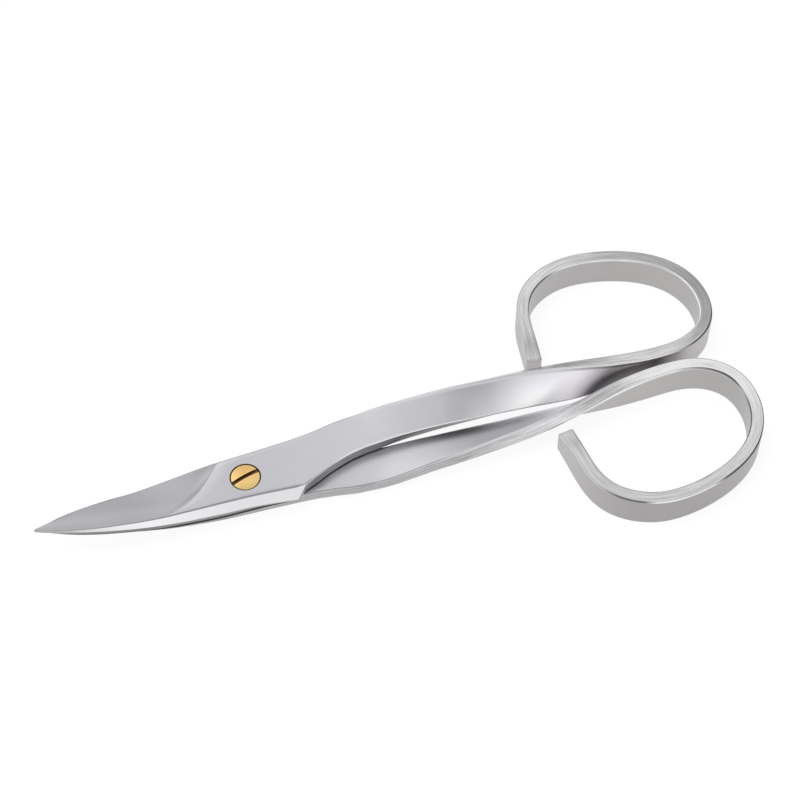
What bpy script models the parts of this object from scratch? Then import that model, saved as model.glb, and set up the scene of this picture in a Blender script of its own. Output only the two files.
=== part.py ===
"""Nail scissors with curved blades and open, twisted strip handles.

Each half is one forged strip of stainless steel. Seen from the tip it is a ground blade,
a flat band round the pivot, a flat shank, a quarter twist that stands the strip on edge,
and an open finger loop rolled from the same strip. A slotted screw joins the two halves.

The thumb half lies on top, with its loop on the +Y side. The finger half lies under it,
with its loop on the -Y side. X runs from the pivot to the handles, Z is the pivot axis,
and the origin is the middle of the screw's flat tail.
"""
import math

import bmesh
import bpy
import numpy as np

# Overall sizes, in metres
BLADE_REACH = 0.0284        # pivot axis to the tips
LOOP_FRONT = 0.0430         # pivot axis to the middle of the strip at the loop's front
LOOP_LENGTH = 0.0257        # the loop's size along X, between the middles of the strip
LOOP_WIDTH = 0.01895        # the same along Y
LOOP_BASE = 0.00136         # from the middle line to the middle of the loop's inner bar
RIDE_GAP = 0.0001           # between the two halves at the pivot and at the tips

# The strip that each half is forged from
BAND_THICKNESS = 0.0018     # at the pivot and along the flat shank
STRIP_WIDTH = 0.0050        # height of the strip where it stands on edge
STRIP_THICKNESS = 0.0018    # in the finger loop
FREE_END_WIDTH = 0.0034     # the strip tapers to this at the open end of the loop
FREE_END_THICKNESS = 0.0022    # and is upset to this
EDGE_ROUNDING = 0.00015     # rounding of the strip's long edges

# The blade's section
EDGE_HALF_WIDTH = 0.0038    # widest distance of the outer side from the middle line, for shares
RIDGE_HALF_WIDTH = 0.0031   # the same for the ridge between the grind and the spine facet
EDGE_FLAT = 0.00005         # height left standing at the cutting edge
CUTTING_BEVEL = 0.00015     # width of the narrow bevel on the cutting edge
EDGE_LAND = 0.00035         # flat strip beside the cutting edge, on the inner face
SPINE_ROUNDING = 0.00012    # lower edge of the spine
HOLLOW_DEPTH = 0.00012      # how far the inner face is ground hollow
SET_GAP = 0.00012           # how far each blade bows away from the other at mid-length
FACET_SLOPE = math.tan(math.radians(55.0))    # fall per width of the bright spine facet
PLUNGE_START = 0.0126       # from the pivot to where the plunge line leaves the ridge
PLUNGE_END = 0.0030         # and to where it meets the outer side
RUN_OUT = 0.0018            # length of the wheel's curved run-out behind the plunge line
BEVEL_FROM = 0.0060         # from the pivot to where the edge has its bevel
KEEN_FROM = 0.0163          # and to where it is ground thin

# The upward curve of the blades: flat, then an arc, then straight to the tip
BEND_START = 0.009          # distance from the pivot where the curve begins
BEND_RADIUS = 0.045
BEND_SLOPE = 0.16           # rise per length beyond the arc

# The heel, the flat shank and the twist
BAND_REACH = 0.0026         # the band is plain this far to each side of the pivot axis
HEEL_X = 0.00595            # where the spine facet ends in a corner
HEEL_CUT = 0.00135          # length of the slanted cut behind that corner
TWIST_START = 0.0165        # from the pivot to where the strip begins to twist
TWIST_LENGTH = 0.040        # length of strip that the quarter turn takes
SHANK_OFFSET = 0.0052       # outer edge of the flat shank from the middle line

# The pivot screw
HEAD_RADIUS = 0.00195
SCREW_RADIUS = 0.00130
SCREW_CLEARANCE = 0.00005   # round the screw and under its head
HEAD_CLEARANCE = 0.00010    # round its head
HEAD_DEPTH = 0.00100        # depth of the counterbore that takes the head
DOME_HEIGHT = 0.00025       # rise of the domed top above the head's rim
DOME_PROUD = 0.00022        # how far the dome stands above the thumb half
TAIL_CHAMFER = 0.00015
SLOT_WIDTH = 0.00056
SLOT_DEPTH = 0.00045
SLOT_TURN = math.radians(15.6)    # the slot's direction, from X
OVERRUN = 0.0005            # how far a cutter reaches past what it cuts
MERGE_DISTANCE = 0.000001   # points nearer than this are one point

# Counts of sections and of steps round the screw
BLADE_STATIONS = 32
BAND_STATIONS = 3
SHANK_STATIONS = 8
STRIP_STATIONS = 88
SCREW_STEPS = 48
DOME_STEPS = 5

# The blade from the tip to the pivot: shares of BLADE_REACH, EDGE_HALF_WIDTH,
# RIDGE_HALF_WIDTH and BAND_THICKNESS, and the facet's depth as a share of the thickness
BLADE_SHARES = (
    (1.00, 0.03, 0.04, 0.20, 0.20),
    (0.86, 0.33, 0.45, 0.48, 0.30),
    (0.72, 0.53, 0.70, 0.68, 0.38),
    (0.58, 0.71, 0.82, 0.83, 0.48),
    (0.43, 0.815, 0.885, 0.92, 0.57),
    (0.28, 0.85, 0.905, 0.97, 0.68),
    (0.14, 0.885, 0.93, 1.00, 0.74),
)
# The band and the flat shank: shares of TWIST_START, and of SHANK_OFFSET for each side
OUTER_SHARES = ((0.00, 0.684), (0.27, 0.722), (0.53, 0.778), (0.67, 0.835), (0.84, 0.93), (1.00, 0.97))
INNER_SHARES = ((0.58, 0.488), (0.68, 0.342), (0.77, 0.24), (0.87, 0.142), (1.00, 0.06))
RIDGE_SHARES = (0.97, 1.13)    # of RIDGE_HALF_WIDTH, at the pivot and at the end of the heel's cut
FACET_SHARES = (0.76, 0.90)    # the facet's depth at the pivot and at the heel, of the thickness
BOW_SHARES = (0.15, 0.40, 0.60)    # of the reach: the bow starts, is full, and starts to close
PLUNGE_SHARES = (0.06, 0.94)    # how near the plunge line comes to the ridge and the edge
GRIND_HOLLOW = 0.15         # depth of the hollow across the grind, of the thickness
STRIP_TOP_SHARES = (0.67, 0.33)    # where the rolled strip's face has its two inner points
HOLLOW_SHARES = ((0.25, 0.75), (0.50, 1.00), (0.75, 0.75))    # across, and of the depth
CORNER_SHARE = 0.29         # middle of a rounded corner, as a share of its rounding

# The middle of the twisting strip and of the loop: shares of LOOP_LENGTH along X from the
# loop's front, and of LOOP_WIDTH along Y from the middle of its inner bar
STRIP_SHARES = (
    (-0.895, 0.067), (-0.739, 0.071), (-0.584, 0.0735), (-0.428, 0.072), (-0.272, 0.069),
    (-0.117, 0.061), (0.039, 0.046), (0.195, 0.030), (0.350, 0.016), (0.506, 0.005),
    (0.640, 0.000), (0.760, 0.015), (0.875, 0.079), (0.951, 0.179), (0.996, 0.389),
    (0.981, 0.550), (0.924, 0.704), (0.823, 0.836), (0.654, 0.947), (0.482, 0.999),
    (0.327, 0.997), (0.177, 0.918), (0.086, 0.804), (0.037, 0.659), (0.016, 0.488),
    (0.006, 0.366), (-0.005, 0.250),
)
# How far the strip has turned: shares of TWIST_LENGTH, and of the quarter turn
TURN_SHARES = (
    (0.00, 0.00), (0.10, 0.045), (0.19, 0.115), (0.29, 0.195), (0.39, 0.285), (0.49, 0.375),
    (0.59, 0.460), (0.69, 0.580), (0.79, 0.735), (0.89, 0.90), (1.00, 1.00),
)
# Height of the strip's middle above the mating plane: shares of the strip's length, and of
# BAND_THICKNESS for the thumb half and for the finger half
RISE_SHARES = (
    (0.00, 0.528, -0.528), (0.015, 0.535, -0.51), (0.04, 0.64, -0.36), (0.08, 0.72, -0.20),
    (0.12, 0.725, -0.155), (0.20, 0.595, -0.13), (0.30, 0.46, 0.03), (0.40, 0.41, 0.20),
    (0.48, 0.38, 0.29), (0.56, 0.21, 0.19), (0.64, 0.05, 0.05), (0.70, 0.003, 0.003),
    (0.73, 0.00, 0.00), (0.78, 0.00, 0.00), (1.00, 0.00, 0.00),
)
WIDTH_CHANGE_SHARE = 0.25   # of TWIST_LENGTH, over which the shank comes to STRIP_WIDTH
TAPER_SHARE = 0.05          # of the strip's length, at its open end

STEEL = (0.60, 0.60, 0.62, 1.0)
STEEL_ROUGHNESS = 0.3
BRASS = (0.80, 0.52, 0.16, 1.0)
BRASS_ROUGHNESS = 0.25

MATING_HEIGHT = RIDE_GAP / 2 + BAND_THICKNESS    # the plane between the halves, above the origin
EDGE_HEIGHT = EDGE_FLAT + CUTTING_BEVEL
HEEL_END = HEEL_X + HEEL_CUT


def smooth(share):
    """Ease from 0 to 1 with level ends."""
    share = min(max(share, 0.0), 1.0)
    return share * share * (3 - 2 * share)


def mix(start, end, share):
    return start + (end - start) * share


def read(rows, x):
    """The height at x of a smooth curve through rows of (x, height)."""
    places = [row[0] for row in rows]
    heights = [row[1] for row in rows]
    slopes = np.gradient(heights, places)
    i = min(max(int(np.searchsorted(places, x)) - 1, 0), len(rows) - 2)
    step = places[i + 1] - places[i]
    t = min(max((x - places[i]) / step, 0.0), 1.0)
    start = heights[i] * (1 + 2 * t) * (1 - t) ** 2 + slopes[i] * step * t * (1 - t) ** 2
    end = heights[i + 1] * (3 - 2 * t) * t ** 2 + slopes[i + 1] * step * (t - 1) * t ** 2
    return start + end


class Spline:
    """A natural cubic through points, read by its chord length."""

    def __init__(self, points):
        self.points = np.array(points, float)
        self.steps = np.linalg.norm(np.diff(self.points, axis=0), axis=1)
        self.knots = np.concatenate([[0.0], np.cumsum(self.steps)])
        self.length = self.knots[-1]
        self.slopes = np.diff(self.points, axis=0) / self.steps[:, None]
        matrix = np.eye(len(self.points))
        right = np.zeros_like(self.points)
        for i in range(1, len(self.points) - 1):
            before, after = self.steps[i - 1], self.steps[i]
            matrix[i, i - 1:i + 2] = before, 2 * (before + after), after
            right[i] = 6 * (self.slopes[i] - self.slopes[i - 1])
        self.bends = np.linalg.solve(matrix, right)

    def at(self, place):
        """The point at a chord length, and the direction of travel there."""
        i = min(max(int(np.searchsorted(self.knots, place)) - 1, 0), len(self.steps) - 1)
        step = self.steps[i]
        b = (place - self.knots[i]) / step
        a = 1 - b
        first, second = self.bends[i], self.bends[i + 1]
        point = a * self.points[i] + b * self.points[i + 1]
        point = point + ((a ** 3 - a) * first + (b ** 3 - b) * second) * step ** 2 / 6
        travel = self.slopes[i] + ((1 - 3 * a ** 2) * first + (3 * b ** 2 - 1) * second) * step / 6
        return point, travel / np.linalg.norm(travel)


# Outlines of the flat part, as rows of (x, height) made from the shares
OUTER_SIDE = [(-BLADE_REACH * row[0], EDGE_HALF_WIDTH * row[1]) for row in BLADE_SHARES]
OUTER_SIDE += [(TWIST_START * along, SHANK_OFFSET * out) for along, out in OUTER_SHARES]
RIDGE_LINE = [(-BLADE_REACH * row[0], RIDGE_HALF_WIDTH * row[2]) for row in BLADE_SHARES]
RIDGE_LINE += [(0.0, RIDGE_HALF_WIDTH * RIDGE_SHARES[0]), (HEEL_END, RIDGE_HALF_WIDTH * RIDGE_SHARES[1])]
THICKNESS = [(-BLADE_REACH * row[0], BAND_THICKNESS * row[3]) for row in BLADE_SHARES]
THICKNESS += [(0.0, BAND_THICKNESS), (TWIST_START, BAND_THICKNESS)]
FACET_DEPTH = [(-BLADE_REACH * row[0], row[4]) for row in BLADE_SHARES]
FACET_DEPTH += [(0.0, FACET_SHARES[0]), (HEEL_X, FACET_SHARES[1])]
INNER_SIDE = [(HEEL_END, RIDGE_HALF_WIDTH * RIDGE_SHARES[1])]
INNER_SIDE += [(TWIST_START * along, SHANK_OFFSET * out) for along, out in INNER_SHARES]


def bend(radius):
    """Height of the blades' curved mating surface, at a distance from the pivot axis."""
    run = max(radius - BEND_START, 0.0)
    arc = BEND_RADIUS * BEND_SLOPE
    if run < arc:
        return run * run / (2 * BEND_RADIUS)
    return (run - arc / 2) * BEND_SLOPE


def bow(radius):
    """How far a blade stands off the mating surface between the pivot and the tip."""
    start, full, close = BOW_SHARES
    share = radius / BLADE_REACH
    return SET_GAP * smooth((share - start) / (full - start)) * smooth((1 - share) / (1 - close))


def section(outer, inner, ridge, top, outer_top, facet, keen, faceted, face_points):
    """One section, as (across, up) points along the inner face, up the outer side and back.

    The cutting edge is on the outer side, and facet is how far the spine's corner is cut
    down. keen and faceted are 1 on the blade, and 0 where the strip's corners are rounded.
    face_points are the points between the outer side and the ridge.
    """
    low = min(mix(EDGE_ROUNDING, SPINE_ROUNDING, faceted), (top - facet) / 2)
    land = mix(EDGE_ROUNDING, EDGE_LAND, keen)
    lift = mix(EDGE_ROUNDING, 0.0, keen)
    corner = mix(EDGE_ROUNDING, CUTTING_BEVEL, keen)
    middle = mix(CORNER_SHARE, 0.5, faceted)
    hollows = []
    for across, depth in HOLLOW_SHARES:
        hollows.append((mix(inner + low, outer - land, across), HOLLOW_DEPTH * keen * depth))
    return [
        (inner + low, 0.0),
        *hollows,
        (outer - land, 0.0),
        (outer - land * CORNER_SHARE, lift * CORNER_SHARE),
        (outer, lift),
        (outer, outer_top - corner),
        (outer - corner * CORNER_SHARE, outer_top - corner * CORNER_SHARE),
        (outer - corner, outer_top),
        *face_points,
        (ridge, top),
        (mix(inner, ridge, middle), top - facet * middle),
        (inner, top - facet),
        (inner, low),
        (inner + low * CORNER_SHARE, low * CORNER_SHARE),
    ]


def grind_depth(share, x, top):
    """How deep the wide grind is, at a share of the way from the ridge to the outer side."""
    plunge = (PLUNGE_START - PLUNGE_END) * math.sqrt(share) - PLUNGE_START
    run = min(max((plunge - x) / RUN_OUT, 0.0), 1.0)
    fall = (top - EDGE_HEIGHT) * smooth((-x - PLUNGE_END) / (KEEN_FROM - PLUNGE_END))
    hollow = GRIND_HOLLOW * top * 4 * share * (1 - share)
    return (fall * share + hollow) * run * (2 - run)


def flat_section(x):
    """The ground blade, the band or the flat shank, cut across at x."""
    top = read(THICKNESS, x)
    outer = read(OUTER_SIDE, x)
    if x <= HEEL_X:
        ridge = -read(RIDGE_LINE, x)
        facet = top * read(FACET_DEPTH, x)
        inner = ridge - facet / FACET_SLOPE
    else:
        inner = -read(INNER_SIDE, x)
        ridge = inner + EDGE_ROUNDING
        facet = EDGE_ROUNDING
    keen = smooth((-x - BAND_REACH) / (BEVEL_FROM - BAND_REACH))
    corner = mix(EDGE_ROUNDING, CUTTING_BEVEL, keen)
    nearest, farthest = PLUNGE_SHARES
    reached = max(x + PLUNGE_START, 0.0) / (PLUNGE_START - PLUNGE_END)
    crease = min(max(reached ** 2, nearest), farthest)
    relaxed = smooth(x / TWIST_START)
    face_points = []
    for share, strip_share in zip(((1 + crease) / 2, crease), STRIP_TOP_SHARES):
        share = mix(share, strip_share, relaxed)
        face_points.append((mix(ridge, outer - corner, share), top - grind_depth(share, x, top)))
    outer_top = top - grind_depth(1.0, x, top)
    return section(outer, inner, ridge, top, outer_top, facet, keen, float(x <= HEEL_X), face_points)


def flat_ring(x, side):
    """A section of the flat part in place: side is 1 for the thumb half, -1 for the other."""
    ring = []
    for across, up in flat_section(x):
        radius = math.hypot(x, across)
        lift = bend(radius) if x < 0 else 0.0
        spread = bow(radius) if x < 0 else 0.0
        ring.append((x, side * across, side * (RIDE_GAP / 2 + spread + up) + lift))
    return ring


def strip_section(width, thickness):
    """The rolled strip: a flat bar with four rounded corners."""
    half = width / 2
    face_points = [(mix(-half, half, share), thickness) for share in STRIP_TOP_SHARES]
    return section(half, -half, EDGE_ROUNDING - half, thickness, thickness, EDGE_ROUNDING,
                   0.0, 0.0, face_points)


def strip_rings(side):
    """Sections of the twisting strip and of the finger loop, in place."""
    outer, inner = read(OUTER_SIDE, TWIST_START), -read(INNER_SIDE, TWIST_START)
    points = [(TWIST_START, (outer + inner) / 2)]
    for along, out in STRIP_SHARES:
        points.append((LOOP_FRONT + LOOP_LENGTH * along, LOOP_BASE + LOOP_WIDTH * out))
    path = Spline(points)
    rises = [(along, thumb if side > 0 else finger) for along, thumb, finger in RISE_SHARES]
    rings = []
    for i in range(1, STRIP_STATIONS + 1):
        place = path.length * i / STRIP_STATIONS
        turned = place / TWIST_LENGTH
        thickness = mix(BAND_THICKNESS, STRIP_THICKNESS, smooth(turned))
        width = mix(outer - inner, STRIP_WIDTH, smooth(turned / WIDTH_CHANGE_SHARE))
        taper = (place / path.length - (1 - TAPER_SHARE)) / TAPER_SHARE
        width = mix(width, FREE_END_WIDTH, smooth(taper))
        thickness = mix(thickness, FREE_END_THICKNESS, smooth(taper))
        angle = math.pi / 2 * read(TURN_SHARES, turned)
        height = BAND_THICKNESS * read(rises, place / path.length)
        point, travel = path.at(place)
        normal = (-travel[1], travel[0])
        ring = []
        for across, up in strip_section(width, thickness):
            up = side * (up - thickness / 2)
            out = across * math.cos(angle) - up * math.sin(angle)
            rise = across * math.sin(angle) + up * math.cos(angle)
            place_y = point[1] + normal[1] * out
            ring.append((point[0] + normal[0] * out, side * place_y, height + rise))
        rings.append(ring)
    return rings


def spaced(start, end, count):
    """Places from start to end, in count steps, without the end."""
    return [mix(start, end, i / count) for i in range(count)]


def half_rings(side):
    places = spaced(-BLADE_REACH, -BAND_REACH, BLADE_STATIONS)
    places += [-BAND_REACH]
    places += spaced(BAND_REACH, HEEL_X, BAND_STATIONS)
    places += [HEEL_X]
    places += spaced(HEEL_END, TWIST_START, SHANK_STATIONS)
    places += [TWIST_START]
    return [flat_ring(x, side) for x in places] + strip_rings(side)


def material(name, color, roughness):
    made = bpy.data.materials.new(name)
    made.use_nodes = True
    shader = made.node_tree.nodes["Principled BSDF"]
    shader.inputs["Base Color"].default_value = color
    shader.inputs["Metallic"].default_value = 1.0
    shader.inputs["Roughness"].default_value = roughness
    return made


def place_object(name, mesh, collection, parent):
    made = bpy.data.objects.new(name, mesh)
    collection.objects.link(made)
    made.parent = parent
    return made


def lofted_half(name, side, collection, parent):
    """Skin the rings of one half into a closed body."""
    rings = half_rings(side)
    form = bmesh.new()
    rows = [[form.verts.new(point) for point in ring] for ring in rings]
    count = len(rings[0])
    for row, following in zip(rows, rows[1:]):
        for j in range(count):
            k = (j + 1) % count
            form.faces.new((row[j], row[k], following[k], following[j]))
    form.faces.new(reversed(rows[0]))
    form.faces.new(rows[-1])
    mesh = bpy.data.meshes.new(name)
    form.to_mesh(mesh)
    form.free()
    return place_object(name, mesh, collection, parent)


def turned_piece(name, profile, collection, parent):
    """Turn a profile of (radius, height) points round the pivot axis."""
    form = bmesh.new()
    corners = [form.verts.new((radius, 0.0, height)) for radius, height in profile]
    for corner, following in zip(corners, corners[1:]):
        form.edges.new((corner, following))
    mesh = bpy.data.meshes.new(name)
    form.to_mesh(mesh)
    form.free()
    made = place_object(name, mesh, collection, parent)
    turning = made.modifiers.new("turning", "SCREW")
    turning.steps = SCREW_STEPS
    turning.render_steps = SCREW_STEPS
    turning.use_merge_vertices = True
    turning.merge_threshold = MERGE_DISTANCE
    turning.use_smooth_shade = True
    return made


def hide_cutter(cutter):
    cutter.hide_render = True
    cutter.display_type = "WIRE"


def cut(piece, cutter):
    hide_cutter(cutter)
    hole = piece.modifiers.new("cut " + cutter.name, "BOOLEAN")
    hole.operation = "DIFFERENCE"
    hole.object = cutter


def screw_profile():
    """From the top of the dome down the head, the shank and the tail."""
    dome_top = MATING_HEIGHT + DOME_PROUD
    rim = dome_top - DOME_HEIGHT
    seat = MATING_HEIGHT - HEAD_DEPTH + SCREW_CLEARANCE
    dome_radius = (HEAD_RADIUS ** 2 + DOME_HEIGHT ** 2) / (2 * DOME_HEIGHT)
    spread = math.asin(HEAD_RADIUS / dome_radius)
    profile = []
    for i in range(DOME_STEPS + 1):
        angle = spread * i / DOME_STEPS
        profile.append((dome_radius * math.sin(angle), dome_top - dome_radius * (1 - math.cos(angle))))
    return profile + [
        (HEAD_RADIUS, seat),
        (SCREW_RADIUS, seat),
        (SCREW_RADIUS, TAIL_CHAMFER - MATING_HEIGHT),
        (SCREW_RADIUS - TAIL_CHAMFER, -MATING_HEIGHT),
        (0.0, -MATING_HEIGHT),
    ]


def pivot_screw(collection, cutters, parent):
    screw = turned_piece("pivot_screw", screw_profile(), collection, parent)
    bpy.ops.mesh.primitive_cube_add(size=1.0)
    slot = bpy.context.object
    slot.name = "slot_cutter"
    for holder in slot.users_collection:
        holder.objects.unlink(slot)
    cutters.objects.link(slot)
    slot.parent = parent
    height = SLOT_DEPTH + OVERRUN
    slot.scale = (2 * (HEAD_RADIUS + OVERRUN), SLOT_WIDTH, height)
    slot.rotation_euler.z = SLOT_TURN
    slot.location.z = MATING_HEIGHT + DOME_PROUD - SLOT_DEPTH + height / 2
    cut(screw, slot)
    return screw


def bore_profile(radius, low, high):
    return [(0.0, high), (radius, high), (radius, low), (0.0, low)]


def counterbore_profile(radius, floor, bore, low, high):
    return [(0.0, high), (radius, high), (radius, floor), (bore, floor), (bore, low), (0.0, low)]


def build():
    for old in list(bpy.data.objects):
        bpy.data.objects.remove(old)
    parts = bpy.data.collections.new("nail_scissors")
    cutters = bpy.data.collections.new("cutters")
    for collection in (parts, cutters):
        bpy.context.scene.collection.children.link(collection)
    pivot = place_object("pivot", None, parts, None)
    pivot.location.z = MATING_HEIGHT

    steel = material("steel", STEEL, STEEL_ROUGHNESS)
    brass = material("brass", BRASS, BRASS_ROUGHNESS)
    thumb = lofted_half("thumb_half", 1, parts, pivot)
    finger = lofted_half("finger_half", -1, parts, pivot)
    screw = pivot_screw(parts, cutters, pivot)

    bore = SCREW_RADIUS + SCREW_CLEARANCE
    past = MATING_HEIGHT + OVERRUN
    seat = MATING_HEIGHT - HEAD_DEPTH
    head_hole = counterbore_profile(HEAD_RADIUS + HEAD_CLEARANCE, seat, bore, -OVERRUN, past)
    cut(thumb, turned_piece("thumb_bore_cutter", head_hole, cutters, pivot))
    tail_hole = bore_profile(bore, -past, OVERRUN)
    cut(finger, turned_piece("finger_bore_cutter", tail_hole, cutters, pivot))

    for piece, finish in ((thumb, steel), (finger, steel), (screw, brass)):
        piece.data.materials.append(finish)
        print(piece.name, "made of", finish.name)


build()
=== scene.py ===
# %% [markdown]
# # A pair of curved nail scissors
# Two forged steel strips and one brass-coloured screw. The model's exact solids come from a
# CAD file, with their places and their hinge. Here each of them is made again with finer
# faces and a real finish, and then the scene is lit and photographed.
# The first step loads the CAD frame. Every size below is in metres, in that frame: X runs
# from the screw towards the handles, Z is the screw's axis, and the origin is the middle of
# the screw's flat tail.

import math

import bmesh
import bpy
import numpy as np
from mathutils import Matrix, Vector


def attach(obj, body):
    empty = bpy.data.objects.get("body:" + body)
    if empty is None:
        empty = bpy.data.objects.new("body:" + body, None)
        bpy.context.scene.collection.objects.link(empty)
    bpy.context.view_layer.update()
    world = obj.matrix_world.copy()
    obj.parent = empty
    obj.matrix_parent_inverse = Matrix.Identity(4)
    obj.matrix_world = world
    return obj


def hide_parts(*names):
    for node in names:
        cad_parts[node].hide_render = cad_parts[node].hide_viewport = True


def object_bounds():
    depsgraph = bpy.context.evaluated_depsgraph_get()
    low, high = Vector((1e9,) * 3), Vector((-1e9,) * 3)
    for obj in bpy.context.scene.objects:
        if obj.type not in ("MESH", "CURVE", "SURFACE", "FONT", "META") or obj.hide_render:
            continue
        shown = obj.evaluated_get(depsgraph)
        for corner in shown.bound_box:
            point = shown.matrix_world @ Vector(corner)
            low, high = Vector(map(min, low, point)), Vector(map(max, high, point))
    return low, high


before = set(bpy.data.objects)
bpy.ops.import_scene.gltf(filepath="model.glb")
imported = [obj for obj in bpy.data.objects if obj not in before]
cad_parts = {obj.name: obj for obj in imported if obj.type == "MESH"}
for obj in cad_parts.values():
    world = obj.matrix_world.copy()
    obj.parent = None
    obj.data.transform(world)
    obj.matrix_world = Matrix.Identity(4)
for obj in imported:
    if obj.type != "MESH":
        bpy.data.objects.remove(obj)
cad_low, cad_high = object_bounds()

# %% [markdown]
# The sizes are those of the CAD part. A scissor half is one strip, so most of it is told by a
# few widths and by tables of shares: how wide, thick and turned the strip is along its way.

# %% Sizes of the halves and of the screw
MM = 0.001
BLADE_REACH = 28.4 * MM
LOOP_FRONT, LOOP_LENGTH = 43.0 * MM, 25.7 * MM
LOOP_WIDTH, LOOP_BASE = 18.95 * MM, 1.36 * MM
RIDE_GAP = 0.1 * MM
BAND_THICKNESS, STRIP_WIDTH = 1.8 * MM, 5.0 * MM
FREE_END_WIDTH, FREE_END_THICKNESS = 3.4 * MM, 2.2 * MM
EDGE_ROUNDING = 0.17 * MM
EDGE_HALF_WIDTH, RIDGE_HALF_WIDTH = 3.8 * MM, 3.1 * MM
EDGE_HEIGHT, CUTTING_BEVEL, EDGE_LAND = 0.20 * MM, 0.15 * MM, 0.35 * MM
SPINE_ROUNDING, HOLLOW_DEPTH, SET_GAP = 0.12 * MM, 0.12 * MM, 0.12 * MM
FACET_SLOPE = math.tan(math.radians(55.0))
PLUNGE_START, PLUNGE_END, RUN_OUT = 12.6 * MM, 3.0 * MM, 1.8 * MM
BEVEL_FROM, KEEN_FROM, GRIND_HOLLOW = 6.0 * MM, 16.3 * MM, 0.15
BEND_START, BEND_RADIUS, BEND_SLOPE = 9.0 * MM, 45.0 * MM, 0.16
BAND_REACH, HEEL_X, HEEL_CUT = 2.6 * MM, 5.95 * MM, 1.35 * MM
TWIST_START, TWIST_LENGTH, SHANK_OFFSET = 16.5 * MM, 40.0 * MM, 5.2 * MM
HEAD_RADIUS, SCREW_RADIUS, SCREW_CLEARANCE = 1.95 * MM, 1.30 * MM, 0.05 * MM
HEAD_CLEARANCE, HEAD_DEPTH = 0.10 * MM, 1.0 * MM
DOME_HEIGHT, DOME_PROUD, TAIL_CHAMFER = 0.25 * MM, 0.22 * MM, 0.15 * MM
SLOT_WIDTH, SLOT_DEPTH, SLOT_TURN = 0.56 * MM, 0.45 * MM, math.radians(15.6)
MATING_HEIGHT = RIDE_GAP / 2 + BAND_THICKNESS
HEEL_END = HEEL_X + HEEL_CUT

# Shares of the named sizes. Blade: reach, outer side, ridge, thickness, facet's depth
BLADE_SHARES = (
    (1.00, 0.03, 0.04, 0.20, 0.20), (0.86, 0.33, 0.45, 0.48, 0.30),
    (0.72, 0.53, 0.70, 0.68, 0.38), (0.58, 0.71, 0.82, 0.83, 0.48),
    (0.43, 0.815, 0.885, 0.92, 0.57), (0.28, 0.85, 0.905, 0.97, 0.68),
    (0.14, 0.885, 0.93, 1.00, 0.74),
)
OUTER_SHARES = (
    (0.00, 0.684), (0.27, 0.722), (0.53, 0.778), (0.67, 0.835), (0.84, 0.93), (1.00, 0.97),
)
INNER_SHARES = ((0.58, 0.488), (0.68, 0.342), (0.77, 0.24), (0.87, 0.142), (1.00, 0.06))
RIDGE_SHARES, FACET_SHARES = (0.97, 1.13), (0.76, 0.90)
# The handle's middle line, its turn, and the rise of the thumb's and the finger's half
STRIP_SHARES = (
    (-0.895, 0.067), (-0.739, 0.071), (-0.584, 0.0735), (-0.428, 0.072), (-0.272, 0.069),
    (-0.117, 0.061), (0.039, 0.046), (0.195, 0.030), (0.350, 0.016), (0.506, 0.005),
    (0.640, 0.000), (0.760, 0.015), (0.875, 0.079), (0.951, 0.179), (0.996, 0.389),
    (0.981, 0.550), (0.924, 0.704), (0.823, 0.836), (0.654, 0.947), (0.482, 0.999),
    (0.327, 0.997), (0.177, 0.918), (0.086, 0.804), (0.037, 0.659), (0.016, 0.488),
    (0.006, 0.366), (-0.005, 0.250),
)
TURN_SHARES = (
    (0.00, 0.00), (0.10, 0.045), (0.19, 0.115), (0.29, 0.195), (0.39, 0.285), (0.49, 0.375),
    (0.59, 0.460), (0.69, 0.580), (0.79, 0.735), (0.89, 0.90), (1.00, 1.00),
)
RISE_SHARES = (
    (0.00, 0.528, -0.528), (0.015, 0.535, -0.51), (0.04, 0.64, -0.36), (0.08, 0.72, -0.20),
    (0.12, 0.725, -0.155), (0.20, 0.595, -0.13), (0.30, 0.46, 0.03), (0.40, 0.41, 0.20),
    (0.48, 0.38, 0.29), (0.56, 0.21, 0.19), (0.64, 0.05, 0.05), (0.70, 0.003, 0.003),
    (0.73, 0.00, 0.00), (0.78, 0.00, 0.00), (1.00, 0.00, 0.00),
)
print("overall length %.1f mm" % ((BLADE_REACH + LOOP_FRONT + LOOP_LENGTH) / MM))

# %% [markdown]
# Two ways to draw a smooth line through a table: `read` gives a height at a place, and
# `strip_path` walks along the middle of the handle at an even pace. A spline through few
# points keeps its curvature even, which matters on metal: a reflection shows every kink.


# %% Smooth lines through tables
def smooth(share):
    share = min(max(share, 0.0), 1.0)
    return share * share * (3 - 2 * share)


def mix(start, end, share):
    return start + (end - start) * share


def read(rows, x):
    """The height at x of a smooth curve through rows of (x, height)."""
    places = [row[0] for row in rows]
    heights = [row[1] for row in rows]
    slopes = np.gradient(heights, places)
    i = min(max(int(np.searchsorted(places, x)) - 1, 0), len(rows) - 2)
    step = places[i + 1] - places[i]
    t = min(max((x - places[i]) / step, 0.0), 1.0)
    start = heights[i] * (1 + 2 * t) * (1 - t) ** 2 + slopes[i] * step * t * (1 - t) ** 2
    end = heights[i + 1] * (3 - 2 * t) * t ** 2 + slopes[i + 1] * step * (t - 1) * t ** 2
    return start + end


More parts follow.
